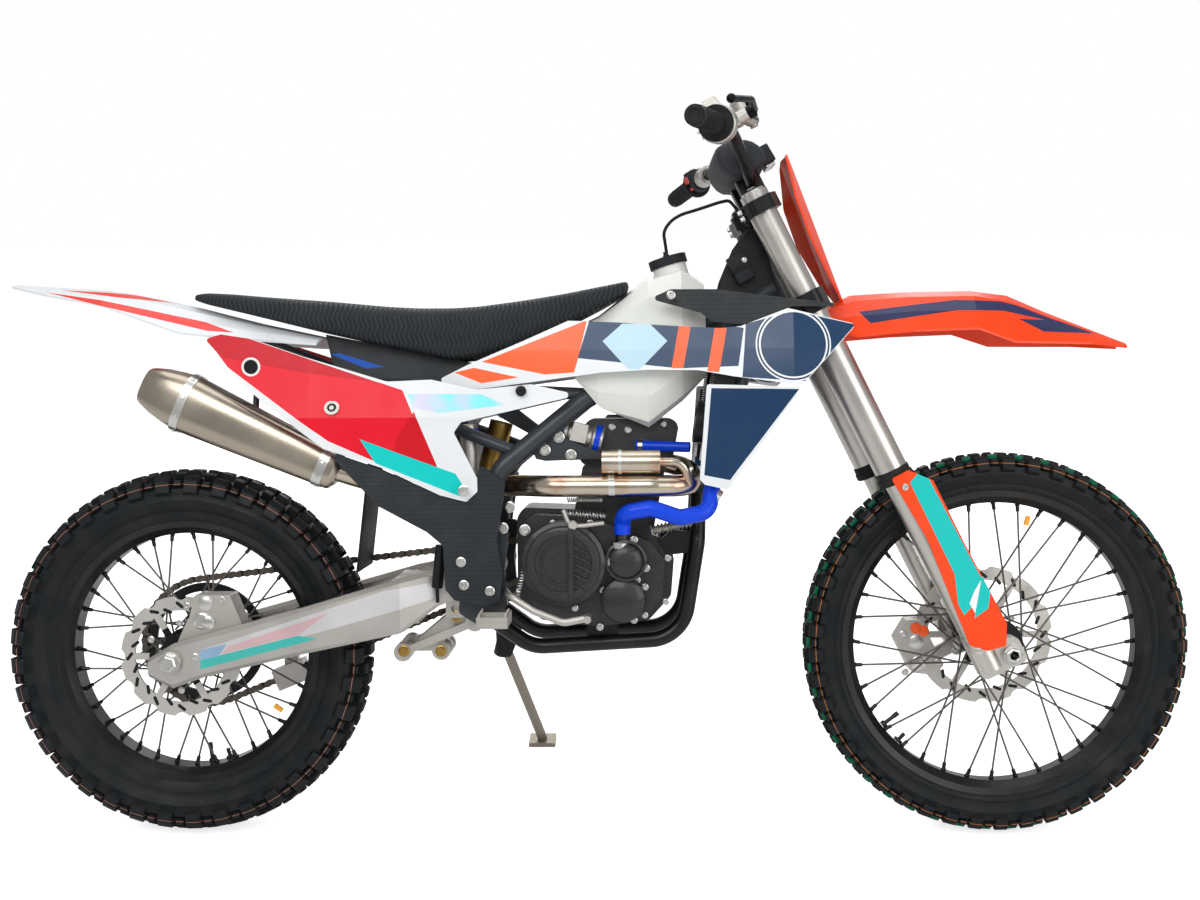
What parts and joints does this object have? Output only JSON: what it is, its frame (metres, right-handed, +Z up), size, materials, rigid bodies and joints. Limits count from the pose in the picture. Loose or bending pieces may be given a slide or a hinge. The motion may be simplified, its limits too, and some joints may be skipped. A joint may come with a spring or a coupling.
{
  "type": "dirt bike",
  "caption": "Full-size off-road motorcycle leaning on its side stand, with spoked wheels, knobbly tyres, long forks, open engine and high seat.",
  "frame": {"origin": "centre of the bounding box at ground level, with the bike leaning to its left on the stand", "axes": "+X towards the front wheel, +Y towards the side stand, +Z up"},
  "size_m": [2.1726, 0.8074, 1.3191],
  "materials": {
    "frame": "satin grey paint",
    "black_metal": "black paint",
    "alloy": "cast and machined",
    "steel": "brushed stainless",
    "chain_steel": "dull",
    "engine_black": "black enamel",
    "black_plastic": "textured",
    "white_plastic": "gloss",
    "tank_plastic": "translucent",
    "navy_plastic": "gloss",
    "orange_plastic": "gloss",
    "panel_plastic": "gloss",
    "blue_rubber": "silicone",
    "rubber": "matt",
    "tyre": "knobbly",
    "seat": "ribbed vinyl",
    "rim_black": "anodised",
    "foam": "foam"
  },
  "bodies": {
    "chassis": {"frame_head": "frame", "frame_spars": "frame", "frame_cradle": "black_metal", "frame_guards": "black_plastic", "subframe": "frame", "swingarm": "alloy", "shock": "alloy", "linkage": "alloy", "engine": "engine_black", "cylinder": "engine_black", "exhaust_header": "steel", "resonator": "steel", "muffler": "steel", "radiators": "black_metal", "coolant_hose": "blue_rubber", "fuel_tank": "tank_plastic", "tank_cap": "black_plastic", "shroud_right": "navy_plastic", "shroud_left": "navy_plastic", "top_covers": "black_plastic", "seat": "seat", "rear_fender": "white_plastic", "side_panel_right": "panel_plastic", "side_panel_left": "panel_plastic", "airbox": "black_plastic", "mud_flap": "rubber", "footpegs": "alloy", "brake_pedal": "alloy", "shift_lever": "alloy", "chain": "chain_steel", "front_sprocket": "chain_steel", "rear_caliper": "alloy", "rear_axle": "chain_steel", "vent_hose": "rubber"},
    "steering": {"triple_clamps": "black_metal", "fork_tubes": "alloy", "fork_guards": "orange_plastic", "front_fender": "orange_plastic", "number_plate": "orange_plastic", "handlebar": "black_metal", "bar_risers": "black_metal", "bar_pad": "foam", "grips": "rubber", "bar_controls": "alloy", "front_caliper": "alloy", "front_axle": "chain_steel"},
    "front_wheel": {"front_tyre": "tyre", "front_rim": "rim_black", "front_hub": "black_metal"},
    "rear_wheel": {"rear_tyre": "tyre", "rear_rim": "rim_black", "rear_hub": "black_metal", "rear_sprocket": "black_metal"},
    "stand": {"side_stand": "chain_steel"}
  },
  "joints": [
    {"name": "steer", "type": "hinge", "parent": "chassis", "child": "steering", "pos_m": [0.32307, -0.03911, 1.01857], "axis": [-0.4462, 0.1784, 0.877], "range_deg": [-42, 42]},
    {"name": "front_spin", "type": "hinge", "parent": "steering", "child": "front_wheel", "pos_m": [0.7373, -0.17615, 0.34498], "axis": [0, 0.9799, -0.1994], "continuous": true},
    {"name": "rear_spin", "type": "hinge", "parent": "chassis", "child": "rear_wheel", "pos_m": [-0.7497, -0.17843, 0.33377], "axis": [0, 0.9799, -0.1994], "continuous": true},
    {"name": "stand_fold", "type": "hinge", "parent": "chassis", "child": "stand", "pos_m": [-0.1787, -0.07863, 0.30264], "axis": [0.121, 0.8486, 0.515], "range_deg": [0, 85]}
  ]
}
